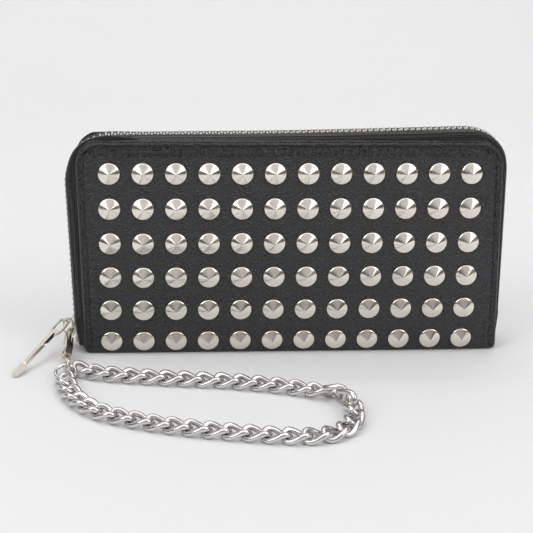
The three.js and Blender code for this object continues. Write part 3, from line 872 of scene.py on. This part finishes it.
def make_zip_tape(side, body):
    """A woven tape from under the cover's turned edge to the teeth, with a thicker corded edge."""
    flat = [(-0.05, TAPE_ROOT), (0.04, 7.6), (0.2, 7.1), (0.4, 6.6), (0.6, 6.1), (0.8, 5.6), (0.93, 5.2)]
    outside = [(mix, depth, 0.32) for mix, depth in [*flat, (1, 4.7)]]
    outside += [(1, 3.6, 0.36), (1, 3.2, 0.72), (1, 2.8, 0.8), (1, 2.5, 0.6), (1, TAPE_LIP, 0.0)]
    inside = [(m, d, -h) for m, d, h in outside[:-1]]
    section = outside + inside[::-1]
    at, edge, out, puff, ended = tape_path()
    rings = []
    for mix, depth, height in section:
        swell = 1 if side > 0 else BACK_PUFF
        rise = height + swell * puff * math.sin(math.pi * min(max(mix, 0), 1) ** 1.2)
        place = edge + (at - edge) * mix + out * rise[:, None]
        clear = TAPE_CLEARANCE + (depth - TAPE_LIP) * (TAPE_ROOT - TAPE_CLEARANCE) / (TAPE_ROOT - TAPE_LIP)
        across = depth + (clear - depth) * ended
        rings.append(np.column_stack([place[:, 0], -side * across, place[:, 1]]))
    points = np.stack(rings, axis=1).reshape(-1, 3)
    name = "front" if side > 0 else "back"
    tape = Form().add(points, tube_faces(len(at), len(section)))
    piece = tape.piece(f"{name}_zip_tape_woven", TAPE_BLACK)
    weld(piece)
    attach(piece, body)
    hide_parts(f"zip_tape_{name}")


def tooth_shape(reach, width, height):
    """A metal zip tooth along local X: clamped root, waisted neck and a round locking head."""
    stations = [
        (-reach / 2, 0.82, 0.80),
        (-reach / 2 + 0.15, 1.0, 1.0),
        (-reach * 0.1, 1.0, 1.0),
        (reach * 0.08, 0.80, 0.92),
        (reach * 0.25, 0.86, 0.92),
        (reach / 2 - 0.3, 0.95, 0.9),
        (reach / 2 - 0.05, 0.7, 0.66),
    ]
    outline = rounded_rect(0.5, 0.5, 0.2, 2)
    rings = [[(x, a * width * wide, b * height * high) for a, b in outline] for x, wide, high in stations]
    return np.array(rings).reshape(-1, 3), tube_faces(len(stations), len(outline))


TOOTH_PITCH = 2.75


def make_zip_teeth(side, body):
    shape, faces = tooth_shape(3.2, 1.2, 2.4)
    form = Form()
    count = int(ZIP_LENGTH / TOOTH_PITCH) - 1
    offset = 0.4 if side > 0 else 0.4 + TOOTH_PITCH / 2
    for i in range(count):
        at, _, along, out = zip_frame((offset + 0.6 + i * TOOTH_PITCH) / ZIP_LENGTH)
        middle = np.array((at[0], -side * 1.15, at[1]))
        inward = np.array((0, side, 0))
        tangent = np.array((along[0], 0, along[1]))
        normal = np.array((out[0], 0, out[1]))
        form.add(middle + shape[:, :1] * inward + shape[:, 1:2] * tangent + shape[:, 2:] * normal, faces)
    name = "front" if side > 0 else "back"
    piece = form.piece(f"{name}_zip_teeth_row", ZIP_METAL)
    weld(piece, TOOTH_WELD_REACH)
    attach(piece, body)
    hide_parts(f"zip_teeth_{name}")


for side, body in ((1, "front_half"), (-1, "root")):
    make_zip_tape(side, body)
    make_zip_teeth(side, body)


# Inner leather and cloth: thin panels with soft edges, made as one closed sheet each

PANEL_FOOT = 2  # radius of a panel's bottom corners


def panel_width(z, half_width, bottom, top, corner):
    """Half width of a panel at a height, with round top corners and small bottom ones."""
    above = max(0.0, z - (top - corner))
    below = max(0.0, bottom + PANEL_FOOT - z)
    head = corner - math.sqrt(max(corner**2 - above**2, 0))
    return half_width - (head + PANEL_FOOT - math.sqrt(max(PANEL_FOOT**2 - below**2, 0)))


def panel(half_width, bottom, top, corner, outer, inner, side, ripple, seed):
    """A thin panel between two depths. Ripple is how far its surface wanders, with the same seed each run."""
    rows, columns = 36, 70
    random = np.random.default_rng(seed)
    phases = random.uniform(0, 6.28, 6)
    middle, half = (outer + inner) / 2, (outer - inner) / 2
    climb = (1 - np.cos(np.linspace(0, math.pi, rows))) / 2
    front, back = [], []
    for z in bottom + (top - bottom) * climb:
        for u in np.linspace(-1, 1, columns):
            x = math.sin(u * math.pi / 2) * panel_width(z, half_width, bottom, top, corner)
            near_edge = min(half_width - abs(x), top - z, z - bottom)
            thin = math.sqrt(min(1.0, max(0.08, near_edge / 0.5)))
            wave = math.sin(x / 19 + phases[0] + z / 31) + 0.6 * math.sin(z / 13 + phases[1] + x / 47)
            depth = middle + ripple * wave / 1.6
            front.append((x, -side * (depth + half * thin), z))
            back.append((x, -side * (depth - half * thin), z))
    return Form().add(front + back, sheet_faces(rows, columns))


def panel_stitches(form, half_width, bottom, top, depth, side, dividers):
    """A row of stitches under the top edge, down both sides and down each divider between card slots."""
    toward = np.array((0.0, side, 0.0))
    y = -side * depth
    lines = [
        [(-half_width + 2, y, top - 2), (half_width - 2, y, top - 2)],
        [(-half_width + 2, y, bottom + 2), (-half_width + 2, y, top - 4)],
        [(half_width - 2, y, bottom + 2), (half_width - 2, y, top - 4)],
    ]
    lines += [[(x, y, bottom + 2), (x, y, top - 4)] for x in dividers]
    for line in lines:
        stitch_along(form, spaced(np.array(line, float), 1.0), toward)


def make_inside(side, body):
    name = "front" if side > 0 else "back"
    lining = panel(92, 2.6, 98, 8, *LINING, side, 0.05, 11)
    piece = lining.piece(f"{name}_cloth_lining", CLOTH_BLACK)
    weld(piece)
    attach(piece, body)
    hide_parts(f"{name}_lining")
    threads = Form()
    for i, (top, layer) in enumerate(zip(POCKET_TOPS, POCKET_LAYERS)):
        pocket = panel(POCKET_HALF_WIDTH, 5, top, 3, *layer, side, 0.04, 20 + i)
        piece = pocket.piece(f"{name}_card_slot_{i + 1}", POCKET_BLACK)
        weld(piece)
        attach(piece, body)
        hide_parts(f"{name}_card_pocket_{i + 1}")
        inner_face = layer[1] - 0.02
        panel_stitches(threads, POCKET_HALF_WIDTH, top - 12, top, inner_face, side, [0])
    piece = threads.piece(f"{name}_card_slot_stitching", THREAD)
    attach(piece, body)


for side, body in ((1, "front_half"), (-1, "root")):
    make_inside(side, body)


# Side gussets: one accordion of cloth at each end, from the studded half to the plain one

def gusset_fold():
    """The accordion's fold in plan, as (x, y) from the studded half to the plain one."""
    half = [(-95.2, -5.3), (-91.5, -4.75), (-88.4, -4.2), (-91.5, -3.65), (-94.9, -2.9), (-95.6, -1.4)]
    return half + [(-95.8, 0)] + [(x, -y) for x, y in half[::-1]]


GUSSET_BOTTOM = 6
GUSSET_HEIGHT = 82
GUSSET_CLOTH = 0.4


def make_gusset(mirror, name):
    fold = smooth_line(gusset_fold(), 0.5) * (mirror, 1)
    heights = GUSSET_BOTTOM + np.linspace(0, GUSSET_HEIGHT, 40)
    across = unit(np.gradient(fold, axis=0))
    normal = np.stack([-across[:, 1], across[:, 0]], axis=1)
    outer, inner = [], []
    for z in heights:
        ripple = 0.12 * math.sin(z / 9) * (z - GUSSET_BOTTOM) / GUSSET_HEIGHT
        for p, n in zip(fold, normal):
            shift = n * (GUSSET_CLOTH / 2 + ripple)
            outer.append((*(p + shift), z))
            inner.append((*(p + shift - GUSSET_CLOTH * n), z))
    gusset = Form().add(outer + inner, sheet_faces(len(heights), len(fold)))
    piece = gusset.piece(f"{name}_gusset_cloth", CLOTH_BLACK)
    weld(piece)
    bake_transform(piece)
    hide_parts(f"{name}_gusset_front", f"{name}_gusset_back")


make_gusset(1, "left")
make_gusset(-1, "right")


# Coin pocket

COIN_HALF_WIDTH = 84  # of its bag and its zip
COIN_TEETH = 90  # on each side
COIN_TOOTH_PITCH = 1.82


def make_coin_pocket():
    for side, name in ((1, "front"), (-1, "back")):
        face = panel(POCKET_HALF_WIDTH, 4, 92, 2, *COIN_PANEL, side, 0.03, 40 + side)
        piece = face.piece(f"coin_pocket_{name}_leather", POCKET_BLACK)
        weld(piece)
        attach(piece, "coin_pocket")
        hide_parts(f"coin_pocket_{name}")
        threads = Form()
        panel_stitches(threads, POCKET_HALF_WIDTH, 4, 92, COIN_PANEL[0] + 0.05, -side, [])
        seam = threads.piece(f"coin_pocket_{name}_stitching", THREAD)
        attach(seam, "coin_pocket")
    drop = [(-1.5, z) for z in np.linspace(91, 6, 30)]
    drop += [(-1.5 * math.cos(a), 5.9 - 1.5 * math.sin(a)) for a in np.linspace(0, math.pi, 12)]
    drop += [(1.5, z) for z in np.linspace(6, 91, 30)]
    drop = np.array(drop)
    xs = np.linspace(-COIN_HALF_WIDTH, COIN_HALF_WIDTH, 60)
    inward = unit(np.gradient(drop, axis=0))
    inward = np.stack([inward[:, 1], -inward[:, 0]], axis=1)
    outer = [(x, *p) for p in drop for x in xs]
    inner = [(x, *(p - 0.3 * n)) for p, n in zip(drop, inward) for x in xs]
    bag = Form().add(outer + inner, sheet_faces(len(drop), len(xs)))
    piece = bag.piece("coin_pocket_cloth_bag", CLOTH_BLACK)
    weld(piece)
    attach(piece, "coin_pocket")
    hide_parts("coin_pocket_bag")


def make_coin_zip():
    section = rounded_rect(2.5, 0.4, 0.3, 3) + (0, 92.75)
    xs = np.linspace(-COIN_HALF_WIDTH, COIN_HALF_WIDTH, 80)
    tape = Form().add([(x, y, z) for x in xs for y, z in section], tube_faces(len(xs), len(section)))
    piece = tape.piece("coin_zip_woven_tape", TAPE_BLACK)
    weld(piece)
    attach(piece, "coin_pocket")
    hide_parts("coin_zip_tape")
    shape, faces = tooth_shape(1.5, 0.9, 1.7)
    teeth = Form()
    for i in range(COIN_TEETH):
        for side in (1, -1):
            x = -81.5 + i * COIN_TOOTH_PITCH + side * 0.45
            middle = np.array((x, -side * 0.5, 94.5))
            local = shape[:, [1, 0, 2]] * (1, side, 1)
            teeth.add(middle + local, faces if side > 0 else [f[::-1] for f in faces])
    piece = teeth.piece("coin_zip_metal_teeth", ZIP_METAL)
    weld(piece, TOOTH_WELD_REACH)
    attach(piece, "coin_pocket")
    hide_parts("coin_zip_teeth")


make_coin_pocket()
make_coin_zip()


# CAD pieces that stay: soft edges and their own finishes

BEVEL_ANGLE = math.radians(35)  # edges sharper than this are softened


def bevel(piece, width):
    modifier = piece.modifiers.new("soft_edges", "BEVEL")
    modifier.width = width
    modifier.segments = 2
    modifier.limit_method = "ANGLE"
    modifier.angle_limit = BEVEL_ANGLE
    modifier.harden_normals = True


def finish_cad(names, material, edge):
    for name in names:
        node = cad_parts[name]
        node.data.materials.clear()
        node.data.materials.append(material)
        bevel(node, edge)


finish_cad(["zip_slider", "pull_tab", "clasp_body", "clasp_gate", "swivel_eye"], HARDWARE_NICKEL, 0.00012)
finish_cad(["clasp_pivot_pin"], HARDWARE_NICKEL, 0.00006)
finish_cad(["clasp_spring", "coin_zip_left_stop", "coin_zip_right_stop"], ZIP_METAL, 0.0001)
finish_cad(["coin_zip_slider", "coin_zip_pull", "zip_top_stop"], ZIP_METAL, 0.00012)
finish_cad(["front_stiffener_board", "back_stiffener_board", "spine_board"], BOARD, 0.0001)
finish_cad(["zip_end_tab"], LEATHER_BLACK, 0.0004)


# Stage and light

def paper_finish():
    finish = Finish("paper", (0.79, 0.79, 0.80), 0.75, **{"Specular IOR Level": 0.25})
    finish.tint(finish.noise(2, 2), 0.3, 0.7, 0.99, 1.0)
    return finish.material


def make_stage():
    """A pale floor that curves up into the backdrop."""
    width, near, far, rise, radius = 2600, -560, 520, 1500, 380
    profile = [(near, 0), (far, 0)]
    for turn in np.linspace(0, math.pi / 2, 16)[1:]:
        profile.append((far + radius * math.sin(turn), radius * (1 - math.cos(turn))))
    profile.append((far + radius, rise))
    points = [(x, y, z) for y, z in profile for x in np.linspace(-width / 2, width / 2, 9)]
    stage = Form().add(points, quads(len(profile), 9)).piece("backdrop", paper_finish())


def area_light(name, place, target, size, power, color=(1, 1, 1)):
    data = bpy.data.lights.new(name, "AREA")
    data.shape = "RECTANGLE"
    data.size, data.size_y = size
    data.energy = power
    data.color = color
    light = bpy.data.objects.new(name, data)
    light.location = place
    light.rotation_euler = (Vector(target) - Vector(place)).to_track_quat("-Z", "Y").to_euler()
    scene.collection.objects.link(light)


# Brightness of the studio by height, from straight down at 0 to straight up at 1
AHEAD = [(0.0, 0.5), (0.42, 0.5), (0.55, 0.42), (0.68, 0.46), (0.80, 0.8), (1.0, 0.95)]
BESIDE = [(0.0, 0.5), (0.40, 0.10), (0.54, 0.05), (0.62, 0.25), (0.75, 0.7), (1.0, 0.95)]
WORLD_STRENGTH = 0.8


def make_world():
    """A studio for polished metal to reflect: pale above, grey in front and dark to the sides."""
    world = bpy.data.worlds.new("studio")
    world.use_nodes = True
    tree = world.node_tree

    def node(kind, **settings):
        made = tree.nodes.new("ShaderNode" + kind)
        for key, value in settings.items():
            setattr(made, key, value)
        return made

    def ramp(source, stops):
        made = node("ValToRGB")
        elements = made.color_ramp.elements
        while len(elements) < len(stops):
            elements.new(0.5)
        for stop, (position, value) in zip(elements, stops):
            stop.position = position
            stop.color = (value, value, value, 1)
        tree.links.new(source, made.inputs["Fac"])
        return made.outputs["Color"]

    split = node("SeparateXYZ")
    tree.links.new(node("TexCoord").outputs["Generated"], split.inputs[0])
    height = node("Math", operation="MULTIPLY_ADD")
    height.inputs[1].default_value = 0.5
    height.inputs[2].default_value = 0.5
    tree.links.new(split.outputs["Z"], height.inputs[0])
    sideways = node("Math", operation="ABSOLUTE")
    tree.links.new(split.outputs["X"], sideways.inputs[0])
    ahead = ramp(height.outputs[0], AHEAD)
    beside = ramp(height.outputs[0], BESIDE)
    mix = node("Mix", data_type="RGBA")
    tree.links.new(ramp(sideways.outputs[0], [(0.25, 0.0), (0.55, 1.0)]), mix.inputs["Factor"])
    tree.links.new(ahead, mix.inputs["A"])
    tree.links.new(beside, mix.inputs["B"])
    tree.links.new(mix.outputs["Result"], tree.nodes["Background"].inputs["Color"])
    tree.nodes["Background"].inputs["Strength"].default_value = WORLD_STRENGTH
    scene.world = world


make_stage()
make_world()
area_light("overhead", (0, -0.25, 1.5), (0, -0.2, 0.0), (1.6, 1.1), 4.7)
area_light("backdrop_wash", (0, 0.45, 1.3), (0, 0.9, 0.75), (1.4, 0.3), 3.7)
for name, x, power in (("left_softbox", -0.95, 5.2), ("right_softbox", 0.95, 4.8)):
    area_light(name, (x, -0.75, 0.85), (0, 0, 0.05), (0.7, 0.9), power, (1.0, 0.99, 0.97))
scene.view_settings.view_transform = "Standard"
